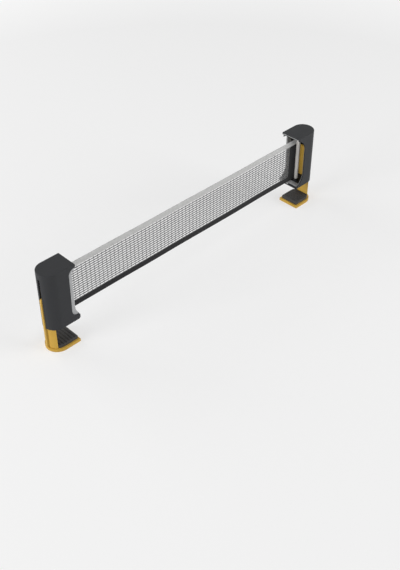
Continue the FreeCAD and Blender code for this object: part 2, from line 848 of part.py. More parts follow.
def spring_collar():
    """The collar, tight on the axle, that holds the still end of the winding spring."""
    body = new_body("spring_collar")
    ring(body, "Collar", "collar_radius", "axle_radius", level_z("collar_level"), "collar_height")
    return body


def spool_tube():
    """The tube that the net winds onto."""
    body = new_body("spool_tube")
    bore = "(spool_radius - spool_wall)"
    ring(body, "Tube", "spool_radius", bore, SPOOL_BOTTOM, "%s - %s" % (SPOOL_TOP, SPOOL_BOTTOM))
    return body


def spool_bush(name, flange_low, plug_low):
    """A flanged bush that closes one end of the tube and turns on the axle."""
    body = new_body(name)
    bore = "(axle_radius + running_gap)"
    ring(body, "Flange", "bush_flange_radius", bore, flange_low, "bush_flange_wall")
    ring(body, "Plug", "(spool_radius - spool_wall)", bore, plug_low, "bush_plug_height")
    return body


def spool_spring():
    """The winding spring inside the tube, from the collar up to the top bush."""
    spring = coil_spring(
        "spool_spring", "-" + SPOOL_X, SPOOL_Y,
        level_z("collar_level + collar_height + seat_gap"),
        SPOOL_TOP + " - bush_plug_height", "torsion_radius", "torsion_wire", "torsion_turns",
    )
    return direct_shape("spool_spring", spring)


def net_roll():
    """The turns of net that stay on the tube when the net is drawn out."""
    body = new_body("net_roll")
    ring(body, "Roll", ROLL_RADIUS, "spool_radius", NET_BOTTOM, "%s - %s" % (NET_TOP, NET_BOTTOM))
    return body


def net_end_rod():
    """The pale rod in the other post that the end of the net slides into."""
    body = new_body("net_end_rod")
    place = {"across": "-" + ROD_X, "along": "rod_side"}
    low, high = NET_BOTTOM, NET_TOP
    rod = ring(body, "Rod", "rod_radius", None, low, "%s - %s" % (high, low), **place)
    rims = [
        "Edge%d" % index
        for index, edge in enumerate(rod.Shape.Edges, start=1)
        if edge.Curve.TypeId == "Part::GeomCircle"
    ]
    fillet(body, rod, rims, "rod_round")
    height = "%s + axle_socket_depth - %s" % (ROOF, BASE_BOTTOM)
    ring(body, "Pins", "axle_radius", None, BASE_BOTTOM, height, **place)
    slot = new_sketch(body, "NetSlot", "XY_Plane", low)
    half = "(tape_wall / 2 + seat_gap)"
    slot_end = "-%s + rod_radius" % ROD_X
    add_outline(
        slot, rectangle(slot_end + " - rod_slot_depth", "-" + half, slot_end + " + wall", half)
    )
    pocket(body, slot, "%s - %s" % (high, low))
    return turned(body, True)


NET_START = "(-%s)" % SPOOL_X
HEM_START = "(%s - hem_lead)" % MOUTH
NET_END = "(%s - rod_radius + rod_slot_depth - seat_gap)" % ROD_X


def net_band(name, start, end, low, high, thickness):
    """A flat band of the net, as a box whose faces are bound to the net's own levels."""
    band = doc.addObject("Part::Box", name)
    tie(band, "Length", "%s - %s" % (end, start))
    tie(band, "Width", thickness)
    tie(band, "Height", "%s - %s" % (high, low))
    tie(band, "Placement.Base.x", start)
    tie(band, "Placement.Base.y", "-%s / 2" % thickness)
    tie(band, "Placement.Base.z", low)
    return band


def net_mesh():
    """The netting between the tapes: one sheet with six-sided holes in staggered rows."""
    start, end = number(NET_START), number(HEM_START)
    low, high = number(MESH_BOTTOM), number(MESH_TOP)
    thread = number("mesh_thread")
    thickness = number("mesh_wall")
    rows = round(number("mesh_rows"))
    columns = round(number("mesh_columns"))
    point_share, side_share = 0.7, 0.3
    row_pitch = (high - low - 2 * thread) / (rows - 1 + 2 * point_share)
    column_pitch = (end - start - thread) / columns
    half_width = (column_pitch - thread) / 2
    point = point_share * row_pitch - thread / 2
    side = side_share * row_pitch - thread / 4

    def loop(places):
        corners = [FreeCAD.Vector(x, -thickness / 2, z) for x, z in places]
        return Part.makePolygon(corners + corners[:1])

    wires = [loop([(start, low), (end, low), (end, high), (start, high)])]
    for row in range(rows):
        middle_z = low + thread + (point_share + row) * row_pitch
        staggered = row % 2
        for column in range(columns - staggered):
            middle_x = start + thread / 2 + (column + (1 + staggered) / 2) * column_pitch
            sides = [(0, -point), (half_width, -side), (half_width, side)]
            corners = sides + [(-x, -z) for x, z in sides]
            wires.append(loop([(middle_x + x, middle_z + z) for x, z in corners]))
    sheet = Part.Face(wires, "Part::FaceMakerBullseye")
    return direct_shape("net_mesh", sheet.extrude(FreeCAD.Vector(0, thickness, 0)))


SUB_PARTS = []
for is_right in (False, True):
    for make in (
        case_shell, base_plate, base_screws, table_pad, mouth_liner, jaw_springs, sliding_jaw,
        grip_pad,
    ):
        SUB_PARTS.append(make(is_right))

SUB_PARTS += [
    spool_axle(),
    spring_collar(),
    spool_tube(),
    spool_bush("spool_lower_bush", SPOOL_BOTTOM + " - bush_flange_wall", SPOOL_BOTTOM),
    spool_bush("spool_upper_bush", SPOOL_TOP, SPOOL_TOP + " - bush_plug_height"),
    spool_spring(),
    net_roll(),
    net_end_rod(),
    net_mesh(),
    net_band("net_top_tape", NET_START, NET_END, MESH_TOP, NET_TOP, "tape_wall"),
    net_band("net_bottom_tape", NET_START, HEM_START, NET_BOTTOM, MESH_BOTTOM, "tape_wall"),
    net_band("net_end_hem", HEM_START, NET_END, NET_BOTTOM, MESH_TOP, "hem_wall"),
]

doc.recompute()
for thing in doc.Objects:
    if "Invalid" in thing.State or "Error" in thing.State:
        raise RuntimeError("%s could not be made: %s" % (thing.Label, thing.State))

os.makedirs("parts", exist_ok=True)
for sub_part in SUB_PARTS:
    shape = sub_part.Shape
    if shape.isNull() or not shape.isValid():
        raise RuntimeError("%s has no valid shape" % sub_part.Label)
    shape.exportStep(os.path.join("parts", sub_part.Label + ".step"))
    box = shape.BoundBox
    print(
        "%-20s %2d solids %9.1f mm3  x %.1f to %.1f  y %.1f to %.1f  z %.1f to %.1f"
        % (
            sub_part.Label, len(shape.Solids), shape.Volume,
            box.XMin, box.XMax, box.YMin, box.YMax, box.ZMin, box.ZMax,
        )
    )
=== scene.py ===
"""Finishes, netting, tapes and springs of a retractable table tennis net held by two clamping posts.

Metres, in the same frame as the solid model: X runs along the net, Y across it and Z up. The net
hangs between the posts in the plane Y = 0, and the jaws' feet stand on Z = 0.
"""

import math

import bmesh
import bpy
from mathutils import Color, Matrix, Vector, noise


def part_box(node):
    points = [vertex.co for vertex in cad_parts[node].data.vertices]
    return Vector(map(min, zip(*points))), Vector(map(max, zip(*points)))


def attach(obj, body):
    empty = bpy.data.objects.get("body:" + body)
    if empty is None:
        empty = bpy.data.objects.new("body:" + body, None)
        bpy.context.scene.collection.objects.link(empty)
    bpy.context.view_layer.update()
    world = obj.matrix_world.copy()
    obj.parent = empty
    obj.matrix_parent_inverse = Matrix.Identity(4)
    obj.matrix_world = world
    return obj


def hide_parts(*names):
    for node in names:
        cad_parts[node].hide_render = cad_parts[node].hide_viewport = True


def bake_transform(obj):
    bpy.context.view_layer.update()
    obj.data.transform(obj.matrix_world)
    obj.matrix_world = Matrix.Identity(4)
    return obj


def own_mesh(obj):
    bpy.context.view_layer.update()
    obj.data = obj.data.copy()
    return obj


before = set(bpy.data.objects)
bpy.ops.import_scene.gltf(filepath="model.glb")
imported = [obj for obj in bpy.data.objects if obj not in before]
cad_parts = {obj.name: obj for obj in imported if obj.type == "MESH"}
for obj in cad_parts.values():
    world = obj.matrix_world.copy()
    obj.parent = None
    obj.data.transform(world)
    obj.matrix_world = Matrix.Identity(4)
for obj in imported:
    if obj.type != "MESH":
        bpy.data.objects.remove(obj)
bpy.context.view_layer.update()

bl_info = {
    "name": "Retractable Net Set",
    "version": (1, 0, 0),
    "blender": (4, 5, 0),
    "location": "3D View > Sidebar > Net Set",
    "description": "Builds the finishes, netting, tapes and springs of a retractable net set",
    "category": "Object",
}

SIDES = ("left", "right")
UP = Vector((0, 0, 1))
FULL_TURN = 2 * math.pi
WHITE = (1.0, 1.0, 1.0, 1.0)

# How finely the shapes are divided: a coil for each turn, a thread for each hole of the net, a
# fold from one side of the tape to the other, and the tapes and the hem along their length
COIL_STEPS = 18
WIRE_SIDES = 8
THREAD_STEPS = 4
THREAD_SIDES = 6
STITCH_STEPS = 4
STITCH_SIDES = 5
FOLD_STEPS = 6
TAPE_STEPS = 200
ROLL_STEPS = 48
HEM_STEPS = 24

# Rounded copies of solids: points nearer than this are one, faces that turn less are one, edges
# that turn more are rounded, and what turns more after that is shaded as a crease
SAME_PLACE = 1e-6
FLAT_ANGLE = math.radians(0.5)
EDGE_ANGLE = math.radians(40)
CREASE_ANGLE = math.radians(35)
CLOTH_CREASE_ANGLE = math.radians(50)
ROUNDING_STEPS = 2

# What the value of a noise texture mostly keeps to
NOISE_RANGE = (0.3, 0.7)

# Scale of the noise that the knitted threads follow, and how sharply a crossing swells
WANDER_SCALE = 160.0
KNOT_SHARPNESS = 3.0

# Scale of the noise that the taut net follows, and the line through it
RIPPLE_SCALE = 9.0
RIPPLE_LINE = (0.3, 0.7)

# Half the thickness of a folded tape on the spool, as a share of the roll's thickness
ROLLED_TAPE_SHARE = 0.45

# Half the width of the floor, and the width of the camera's sensor in millimetres
FLOOR_REACH = 8.0
SENSOR_WIDTH = 36.0


def shade(name, red, green, blue, description):
    """A colour setting, written as it looks on a screen, from 0 to 255."""
    return bpy.props.FloatVectorProperty(
        name=name,
        description=description,
        subtype="COLOR_GAMMA",
        size=3,
        min=0.0,
        max=1.0,
        default=(red / 255, green / 255, blue / 255),
    )


def span(name, metres, description):
    """A length setting."""
    return bpy.props.FloatProperty(
        name=name, description=description, default=metres, min=0.0, precision=5, unit="LENGTH"
    )


def share(name, value, description):
    """A setting with no unit."""
    return bpy.props.FloatProperty(name=name, description=description, default=value, min=0.0)


def count(name, value, description):
    """A setting in whole numbers."""
    return bpy.props.IntProperty(name=name, description=description, default=value, min=1)


class HousingFinish(bpy.types.PropertyGroup):
    """The posts' housings, liners and what closes them underneath."""

    housing: shade("Housing", 49, 50, 52, "Dark grey moulded housing")
    liner: shade("Liner", 172, 173, 174, "Light grey sleeve inside the mouth")
    pad: shade("Table pad", 40, 41, 42, "Thin rubber sheet that rests on the table")
    steel: shade("Steel", 168, 168, 170, "Screws, springs and axle")
    # The edge softening radii also set how wide the paler band along the edges is, partly wear and
    # partly painted highlight
    softening: span("Edge softening", 0.0005, "Radius that catches the light along moulded edges")
    rim: span("Housing edge softening", 0.0014, "The same for the housings' broader edges")
    pad_edge: span("Pad edge", 0.0003, "Rounding of the table pads' edges")


class JawFinish(bpy.types.PropertyGroup):
    """The sliding jaws and the rubber blocks on their feet."""

    jaw: shade("Jaw", 198, 159, 68, "Mustard yellow moulded jaw")
    rubber: shade("Grip rubber", 46, 45, 44, "Ribbed rubber block on the foot")
    edge: span("Jaw edge", 0.0006, "Rounding of the jaw's moulded edges")
    rubber_edge: span("Rubber edge", 0.0004, "Rounding of the rubber block's edges")


class SpringSizes(bpy.types.PropertyGroup):
    """The coil springs."""

    turns: count("Turns", 20, "Coils of each jaw spring")
    wire: span("Wire", 0.0006, "Wire thickness of the jaw springs")
    winding_turns: count("Winding turns", 16, "Coils of the spring inside the spool")
    winding_wire: span("Winding wire", 0.0009, "Wire thickness of the spring inside the spool")
    closed: share("Closed turns", 1.5, "Coils that touch at each end of a spring")


class SpoolFinish(bpy.types.PropertyGroup):
    """The spool in the left post and the rod in the right post."""

    tube: shade("Spool tube", 58, 59, 61, "Tube that the net winds onto")
    bush: shade("Bush", 196, 196, 192, "Flanged bushes and the spring's collar")
    rod: shade("Rod", 234, 231, 225, "Upright rod that the end of the net slides into")


class NetSizes(bpy.types.PropertyGroup):
    """The netting and its tapes."""

    column_pitch: span("Column pitch", 0.0097, "Distance between upright threads")
    row_pitch: span("Row pitch", 0.0051, "Distance between the threads along the net")
    upright: span("Upright thread", 0.0009, "Width of the upright threads")
    level: span("Level thread", 0.0024, "Width of the threads along the net")
    flatness: share("Thread flatness", 0.34, "Thickness of a thread as a share of its width")
    knot: share("Knot growth", 0.35, "How much a thread swells where two of them cross")
    unevenness: span("Unevenness", 0.0005, "How far the knitted threads wander")
    tuck: span("Tuck", 0.004, "How far the netting reaches into its tapes")
    ply: span("Tape cloth", 0.00036, "Thickness of the folded tapes' cloth")
    ripple: span("Ripple", 0.0007, "How far the taut net wanders out of its plane")
    stitch: span("Stitch length", 0.0026, "Length of one stitch along a tape")
    stitch_pitch: span("Stitch pitch", 0.0036, "Distance from one stitch to the next")
    stitch_inset: span("Stitch inset", 0.0017, "Distance of the sewn line from a tape's edge")
    sewing_thread: span("Sewing thread", 0.00038, "Thickness of the sewing thread")
    thread: shade("Thread", 124, 124, 125, "Grey netting")
    white: shade("White tape", 197, 197, 196, "Broad tape along the top")
    black: shade("Black tape", 42, 42, 43, "Tape along the bottom and hem at the end")


class StageSettings(bpy.types.PropertyGroup):
    """The camera, the light and the floor."""

    eye: bpy.props.FloatVectorProperty(
        name="Eye", description="Where the camera stands", subtype="TRANSLATION", unit="LENGTH",
        size=3, default=(-1.0092, -1.0495, 1.143),
    )
    heading: bpy.props.FloatProperty(
        name="Heading", description="Direction of view, turned from +X towards +Y",
        subtype="ANGLE", default=math.radians(45.3),
    )
    dip: bpy.props.FloatProperty(
        name="Dip", description="How far the camera looks down", subtype="ANGLE",
        default=math.radians(39.51),
    )
    lens: share("Lens", 56.8, "Focal length in millimetres, for a 36 mm sensor")
    sky: share("Sky", 0.28, "Strength of the even light from all round")
    top: share("Top light", 2.0, "Power of the large soft lamp overhead, in watts")
    front: share("Front light", 86.0, "Power of the soft lamp in front of the right post, in watts")
    side: share("Side light", 82.0, "Power of the soft lamp beside the left post, in watts")
    back: share("Back light", 40.0, "Power of the soft lamp behind the net, in watts")
    floor_paint: share("Floor paint", 0.8, "Brightness of the floor for the light it returns")
    floor_seen: share("Floor seen", 0.45, "Brightness of the floor's paint for the eye")
    floor_lift: share("Floor lift", 0.54, "Light that the floor adds for the eye alone")
    floor_near: span("Floor fade start", 1.2, "Distance at which the floor starts to fade to white")
    floor_far: span("Floor fade end", 3.2, "Distance at which the floor is white")


def linear(setting):
    """A colour setting as the four numbers that a shader's socket takes."""
    return (*Color(setting).from_srgb_to_scene_linear(), 1.0)


class TreeWriter:
    """Adds nodes to a node tree and links them as they are made."""

    def __init__(self, tree):
        self.tree = tree

    def feed(self, node, inputs):
        """Gives each of a node's sockets a value, or a link from another node's output."""
        for socket, value in inputs.items():
            if isinstance(value, bpy.types.NodeSocket):
                self.tree.links.new(value, node.inputs[socket])
            else:
                node.inputs[socket].default_value = value

    def add(self, kind, inputs=None, **settings):
        """A new node, with its settings made and its sockets fed."""
        node = self.tree.nodes.new(kind)
        for name, value in settings.items():
            setattr(node, name, value)
        self.feed(node, inputs or {})
        return node

    def made(self, kind, inputs=None, **settings):
        """The first output of a new node."""
        return self.add(kind, inputs, **settings).outputs[0]

    def math(self, operation, first, second=0.0):
        """What an operation makes of one or two numbers."""
        return self.made("ShaderNodeMath", {0: first, 1: second}, operation=operation)

    def vector(self, x=0.0, y=0.0, z=0.0):
        """A vector made of its three parts."""
        return self.made("ShaderNodeCombineXYZ", {0: x, 1: y, 2: z})

    def mapped(self, value, low, high, to_low, to_high):
        """A value moved from one range to another, and kept inside it."""
        inputs = {0: value, 1: low, 2: high, 3: to_low, 4: to_high}
        return self.made("ShaderNodeMapRange", inputs)

    def texture(self, place, scale, detail):
        """The value of a noise texture."""
        return self.made("ShaderNodeTexNoise", {"Vector": place, "Scale": scale, "Detail": detail})

    def varied(self, texture, low, high):
        """The value of a noise texture, spread from low to high."""
        return self.mapped(texture, *NOISE_RANGE, low, high)


def start_material(name):
    """An empty material, its tree's writer and its shader."""
    material = bpy.data.materials.new(name)
    material.use_nodes = True
    material.node_tree.nodes.clear()
    writer = TreeWriter(material.node_tree)
    shader = writer.add("ShaderNodeBsdfPrincipled")
    writer.add("ShaderNodeOutputMaterial", {"Surface": shader.outputs[0]})
    return material, writer, shader


def tinted(writer, colour, brightness):
    """A colour whose brightness follows a field."""
    node = writer.add("ShaderNodeHueSaturation", {"Value": brightness, "Color": colour})
    return node.outputs["Color"]


def mixed(writer, share_of_second, first, second):
    """A mix of two colours, either of them a plain colour or an output."""
    inputs = {0: share_of_second, 6: first, 7: second}
    return writer.add("ShaderNodeMix", inputs, data_type="RGBA").outputs[2]


def moulded_plastic(name, colour, softening, roughness=0.44):
    """Moulded plastic: a fine spark-eroded grain, faint flow marks and paler edges, partly wear and
    partly painted highlight.
    """
    material, writer, shader = start_material(name)
    place = writer.add("ShaderNodeTexCoord").outputs["Object"]
    flow = writer.texture(place, scale=28.0, detail=3.0)
    grain = writer.texture(place, scale=2800.0, detail=2.0)
    brightness = writer.math(
        "MULTIPLY", writer.varied(flow, 0.95, 1.05), writer.varied(grain, 0.96, 1.04)
    )
    soft = writer.made("ShaderNodeBevel", {"Radius": softening}, samples=6)
    flat = writer.add("ShaderNodeNewGeometry").outputs["Normal"]
    facing = writer.add("ShaderNodeVectorMath", {0: soft, 1: flat}, operation="DOT_PRODUCT")
    # Paler band where the softened normal turns away from the face's own: partly edge wear and partly
    # painted highlight, patchy with the flow marks
    wear_and_painted_highlight = writer.math(
        "MULTIPLY",
        writer.mapped(facing.outputs["Value"], 0.80, 0.99, 0.32, 0.0),
        writer.mapped(flow, 0.35, 0.65, 0.3, 1.0),
    )
    pale = tuple(min(1.0, 2.1 * part + 0.05) for part in colour[:3]) + (1.0,)
    bump = {"Height": grain, "Normal": soft, "Strength": 0.5, "Distance": 0.00002}
    surface = {
        "Base Color": mixed(writer, wear_and_painted_highlight, tinted(writer, colour, brightness), pale),
        "Roughness": writer.varied(flow, roughness - 0.05, roughness + 0.06),
        "Normal": writer.made("ShaderNodeBump", bump),
        "Specular IOR Level": 0.2,
    }
    writer.feed(shader, surface)
    return material


def moulded_rubber(name, colour):
    """Matt rubber with fine pores and a dusty bloom in patches."""
    material, writer, shader = start_material(name)
    place = writer.add("ShaderNodeTexCoord").outputs["Object"]
    bloom = writer.texture(place, scale=90.0, detail=4.0)
    pores = writer.texture(place, scale=2200.0, detail=2.0)
    clean = tinted(writer, colour, writer.varied(pores, 0.9, 1.1))
    dusty = tuple(part + 0.05 for part in colour[:3]) + (1.0,)
    bump = {"Height": pores, "Strength": 0.6, "Distance": 0.00005}
    surface = {
        "Base Color": mixed(writer, writer.mapped(bloom, 0.4, 0.75, 0.0, 0.6), clean, dusty),
        "Roughness": writer.varied(bloom, 0.7, 0.85),
        "Normal": writer.made("ShaderNodeBump", bump),
    }
    writer.feed(shader, surface)
    return material


def drawn_steel(name, colour):
    """Bright steel with fine drawing marks along Z."""
    material, writer, shader = start_material(name)
    place = writer.add("ShaderNodeTexCoord").outputs["Object"]
    stretched = writer.made("ShaderNodeMapping", {"Vector": place, "Scale": (1.0, 1.0, 0.06)})
    marks = writer.texture(stretched, scale=3500.0, detail=3.0)
    surface = {
        "Base Color": tinted(writer, colour, writer.varied(marks, 0.9, 1.05)),
        "Roughness": writer.varied(marks, 0.22, 0.38),
        "Metallic": 1.0,
    }
    writer.feed(shader, surface)
    return material


# How little yarn shines
YARN_GLOSS = {"Specular IOR Level": 0.15, "Sheen Weight": 0.06}


def woven_tape(name, colour, yarn=0.0005, depth=0.00008):
    """Plain-woven tape: yarns along and across it, from the tape's own UV map in metres."""
    material, writer, shader = start_material(name)
    place = writer.made("ShaderNodeUVMap", uv_map="Cloth")
    # At a scale of 1 a wave texture repeats every tenth of pi
    bands = {"Vector": place, "Scale": math.pi / (10 * yarn), "Distortion": 0.4}
    along = writer.add("ShaderNodeTexWave", bands, bands_direction="X").outputs[1]
    across = writer.add("ShaderNodeTexWave", bands, bands_direction="Y").outputs[1]
    weave = writer.math("MULTIPLY", along, across)
    fuzz = writer.texture(place, scale=150.0, detail=5.0)
    brightness = writer.math(
        "MULTIPLY", writer.mapped(weave, 0.0, 1.0, 0.93, 1.03), writer.varied(fuzz, 0.95, 1.04)
    )
    bump = {"Height": weave, "Strength": 0.5, "Distance": depth}
    surface = {
        "Base Color": tinted(writer, colour, brightness),
        "Normal": writer.made("ShaderNodeBump", bump),
        "Roughness": 0.82,
        "Sheen Roughness": 0.5,
        **YARN_GLOSS,
    }
    writer.feed(shader, surface)
    return material


def knitted_thread(name, colour, loop=0.0011):
    """Netting yarn: V-shaped knitted loops that follow each thread."""
    material, writer, shader = start_material(name)
    along = writer.add("ShaderNodeAttribute", attribute_name="along").outputs["Fac"]
    around = writer.add("ShaderNodeAttribute", attribute_name="around").outputs["Fac"]
    slant = writer.math("MULTIPLY", writer.math("PINGPONG", around, 0.25), 4 * loop)
    phase = writer.math("MULTIPLY", writer.math("ADD", along, slant), FULL_TURN / loop)
    loops = writer.math("SINE", phase)
    place = writer.add("ShaderNodeTexCoord").outputs["Object"]
    fuzz = writer.texture(place, scale=900.0, detail=3.0)
    brightness = writer.math(
        "MULTIPLY", writer.mapped(loops, -1.0, 1.0, 0.88, 1.06), writer.varied(fuzz, 0.93, 1.07)
    )
    bump = {"Height": loops, "Strength": 0.5, "Distance": 0.0001}
    surface = {
        "Base Color": tinted(writer, colour, brightness),
        "Normal": writer.made("ShaderNodeBump", bump),
        "Roughness": 0.8,
        **YARN_GLOSS,
    }
    writer.feed(shader, surface)
    return material


FINISHES = {}


def finish(name):
    """The material of that name, made when it is first asked for."""
    if name in FINISHES:
        return FINISHES[name]
    scene = bpy.context.scene
    case, jaw = scene.net_set_housing, scene.net_set_jaw
    spool, net = scene.net_set_spool, scene.net_set_net
    soft = {"softening": case.softening}
    sewing = {"loop": 0.0006}
    makers = {
        "housing_plastic": (moulded_plastic, case.housing, {"softening": case.rim, "roughness": 0.6}),
        "liner_plastic": (moulded_plastic, case.liner, {**soft, "roughness": 0.5}),
        "jaw_plastic": (moulded_plastic, jaw.jaw, {**soft, "roughness": 0.4}),
        "spool_plastic": (moulded_plastic, spool.tube, soft),
        "bush_plastic": (moulded_plastic, spool.bush, soft),
        "rod_plastic": (moulded_plastic, spool.rod, soft),
        "pad_rubber": (moulded_rubber, case.pad, {}),
        "grip_rubber": (moulded_rubber, jaw.rubber, {}),
        "bright_steel": (drawn_steel, case.steel, {}),
        "white_weave": (woven_tape, net.white, {}),
        "black_weave": (woven_tape, net.black, {}),
        "net_yarn": (knitted_thread, net.thread, {}),
        "white_yarn": (knitted_thread, net.white, sewing),
        "black_yarn": (knitted_thread, net.black, sewing),
    }
    maker, colour, settings = makers[name]
    FINISHES[name] = maker(name, linear(colour), **settings)
    return FINISHES[name]


def paint(thing, finish_name):
    """Gives an object its finish."""
    thing.data.materials.clear()
    thing.data.materials.append(finish(finish_name))


def dress(node, finish_name):
    """Gives a solid of the model its finish."""
    paint(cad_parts[node], finish_name)


def add_object(name, data):
    """A new object in the scene."""
    made = bpy.data.objects.new(name, data)
    bpy.context.scene.collection.objects.link(made)
    return made


def settled(thing, body, slot_name, *nodes):
    """Sets a finished piece on its body and in the place of its nodes, which it hides."""
    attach(thing, body)
    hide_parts(*nodes)


def rounded_piece(name, node, width, body, finish_name):
    """A solid of the model with its edges rounded and painted in its finish, set on its body in place
    of its node.
    """
    shell = bmesh.new()
    shell.from_mesh(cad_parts[node].data)
    bmesh.ops.remove_doubles(shell, verts=shell.verts, dist=SAME_PLACE)
    bmesh.ops.dissolve_limit(shell, angle_limit=FLAT_ANGLE, verts=shell.verts, edges=shell.edges)
    shell.normal_update()
    crisp = [e for e in shell.edges if e.is_manifold and e.calc_face_angle() > EDGE_ANGLE]
    bmesh.ops.bevel(
        shell, geom=crisp, offset=width, offset_type="OFFSET", segments=ROUNDING_STEPS,
        affect="EDGES", profile=0.5, clamp_overlap=True,
    )
    mesh = bpy.data.meshes.new(name)
    shell.to_mesh(mesh)
    shell.free()
    mesh.shade_smooth()
    mesh.set_sharp_from_angle(angle=CREASE_ANGLE)
    piece = add_object(name, mesh)
    paint(piece, finish_name)
    settled(piece, body, finish_name, node)


def start_tree(name, inputs):
    """A geometry tree with named inputs, its writer and its inputs' outputs by name."""
    tree = bpy.data.node_groups.new(name, "GeometryNodeTree")
    for label, kind in inputs.items():
        tree.interface.new_socket(label, in_out="INPUT", socket_type="NodeSocket" + kind)
    tree.interface.new_socket("Geometry", in_out="OUTPUT", socket_type="NodeSocketGeometry")
    writer = TreeWriter(tree)
    return tree, writer, writer.add("NodeGroupInput").outputs


def end_tree(writer, geometry, material):
    """Ends a tree in plain geometry with its material."""
    real = writer.made("GeometryNodeRealizeInstances", {0: geometry})
    painted = writer.made("GeometryNodeSetMaterial", {"Geometry": real, "Material": material})
    writer.add("NodeGroupOutput", {0: painted})


def grown(name, tree, values):
    """A plain mesh of what a tree makes from values for its named inputs."""
    thing = add_object(name, bpy.data.meshes.new(name))
    modifier = thing.modifiers.new(name, "NODES")
    modifier.node_group = tree
    for item in tree.interface.items_tree:
        if item.in_out == "INPUT":
            modifier[item.identifier] = values[item.name]
    depsgraph = bpy.context.evaluated_depsgraph_get()
    mesh = bpy.data.meshes.new_from_object(
        thing.evaluated_get(depsgraph), preserve_all_data_layers=True, depsgraph=depsgraph
    )
    if not mesh.polygons:
        raise RuntimeError("%s came out empty" % name)
    thing.modifiers.remove(modifier)
    thing.data = mesh
    mesh.name = name
    return thing


def coil_level(writer, given, turn):
    """Height of the wire's middle after some turns, which touch at both ends of a spring."""
    math_of = writer.math
    turns, closed, wire = given["Turns"], given["Closed"], given["Wire"]
    past_open = math_of("SUBTRACT", turn, math_of("SUBTRACT", turns, closed))
    tight = math_of("ADD", math_of("MINIMUM", turn, closed), math_of("MAXIMUM", past_open, 0.0))
    height = math_of("SUBTRACT", math_of("SUBTRACT", given["High"], given["Low"]), wire)
    both_ends = math_of("MULTIPLY", closed, 2.0)
    open_height = math_of("SUBTRACT", height, math_of("MULTIPLY", both_ends, wire))
    pitch = math_of("DIVIDE", open_height, math_of("SUBTRACT", turns, both_ends))
    open_rise = math_of("MULTIPLY", math_of("SUBTRACT", turn, tight), pitch)
    rise = math_of("ADD", math_of("MULTIPLY", tight, wire), open_rise)
    start = math_of("ADD", given["Low"], math_of("MULTIPLY", wire, 0.5))
    return math_of("ADD", start, rise)


def coil_tree():
    """Round-wire springs, side by side along Y."""
    tree, writer, given = start_tree(
        "CoilSprings",
        {
            "Springs": "Int", "Place": "Vector", "Spacing": "Float", "Coil Radius": "Float",
            "Wire": "Float", "Low": "Float", "High": "Float", "Turns": "Int", "Closed": "Float",
            "Material": "Material",
        },
    )
    math_of = writer.math
    steps = math_of("MULTIPLY", given["Turns"], COIL_STEPS)
    line = writer.made("GeometryNodeMeshLine", {"Count": math_of("ADD", steps, 1.0)})
    wire_line = writer.made("GeometryNodeMeshToCurve", {0: line})
    turn = math_of("DIVIDE", writer.made("GeometryNodeInputIndex"), COIL_STEPS)
    angle = math_of("MULTIPLY", turn, FULL_TURN)
    half_wire = math_of("MULTIPLY", given["Wire"], 0.5)
    reach = math_of("SUBTRACT", given["Coil Radius"], half_wire)
    place = writer.vector(
        math_of("MULTIPLY", math_of("COSINE", angle), reach),
        math_of("MULTIPLY", math_of("SINE", angle), reach),
        coil_level(writer, given, turn),
    )
    helix = writer.made("GeometryNodeSetPosition", {0: wire_line, "Position": place})
    section = {"Resolution": WIRE_SIDES, "Radius": half_wire}
    round_wire = writer.made("GeometryNodeCurvePrimitiveCircle", section)
    coil = writer.made("GeometryNodeCurveToMesh", {0: helix, 1: round_wire, "Fill Caps": True})
    row = {
        "Count": given["Springs"], "Start Location": given["Place"],
        "Offset": writer.vector(y=given["Spacing"]),
    }
    stand = writer.made("GeometryNodeMeshLine", row)
    set_out = writer.made("GeometryNodeInstanceOnPoints", {0: stand, 2: coil})
    end_tree(writer, set_out, given["Material"])
    return tree


def copied_lines(writer, start, end, steps, copies, spacing):
    """Straight lines side by side, each divided into steps."""
    line = writer.made("GeometryNodeCurvePrimitiveLine", {"Start": start, "End": end})
    points = writer.math("ADD", steps, 1.0)
    fine = writer.made("GeometryNodeResampleCurve", {0: line, "Count": points})
    stands = writer.made("GeometryNodeMeshLine", {"Count": copies, "Offset": spacing})
    copied = writer.made("GeometryNodeInstanceOnPoints", {0: stands, 2: fine})
    return writer.made("GeometryNodeRealizeInstances", {0: copied})


def swept_threads(writer, line, radius, flatness, swell, unevenness):
    """Uneven threads along lines, swollen at each crossing and pressed flat in the net's plane."""
    place = writer.made("GeometryNodeInputPosition")
    wander = {"Vector": place, "Scale": WANDER_SCALE, "Detail": 1.0}
    colour = writer.add("ShaderNodeTexNoise", wander).outputs[1]
    either_way = writer.made(
        "ShaderNodeVectorMath", {0: colour, 1: (0.5, 0.5, 0.5)}, operation="SUBTRACT"
    )
    offset = writer.made(
        "ShaderNodeVectorMath", {0: either_way, "Scale": unevenness}, operation="SCALE"
    )
    uneven = writer.made("GeometryNodeSetPosition", {0: line, "Offset": offset})
    parameter = writer.add("GeometryNodeSplineParameter").outputs
    measured = writer.made(
        "GeometryNodeStoreNamedAttribute",
        {"Geometry": uneven, "Name": "along", "Value": parameter["Length"]},
    )
    section = {"Resolution": THREAD_SIDES, "Radius": 1.0}
    ring = writer.made(
        "GeometryNodeStoreNamedAttribute",
        {
            "Geometry": writer.made("GeometryNodeCurvePrimitiveCircle", section),
            "Name": "around", "Value": parameter["Factor"],
        },
    )
    size = writer.math("MULTIPLY", radius, swell)
    swept = writer.made(
        "GeometryNodeCurveToMesh", {0: measured, 1: ring, "Scale": size, "Fill Caps": True}
    )
    flat = writer.vector(1.0, flatness, 1.0)
    pressed = writer.made("ShaderNodeVectorMath", {0: place, 1: flat}, operation="MULTIPLY")
    return writer.made("GeometryNodeSetPosition", {0: swept, "Position": pressed})


def crossing_swell(writer, distance, pitch, growth):
    """A thread's size factor: 1 between crossings, more at each whole pitch."""
    turn = writer.math("MULTIPLY", writer.math("DIVIDE", distance, pitch), FULL_TURN)
    wave = writer.mapped(writer.math("COSINE", turn), -1.0, 1.0, 0.0, 1.0)
    peak = writer.math("POWER", wave, KNOT_SHARPNESS)
    return writer.math("ADD", writer.math("MULTIPLY", peak, growth), 1.0)


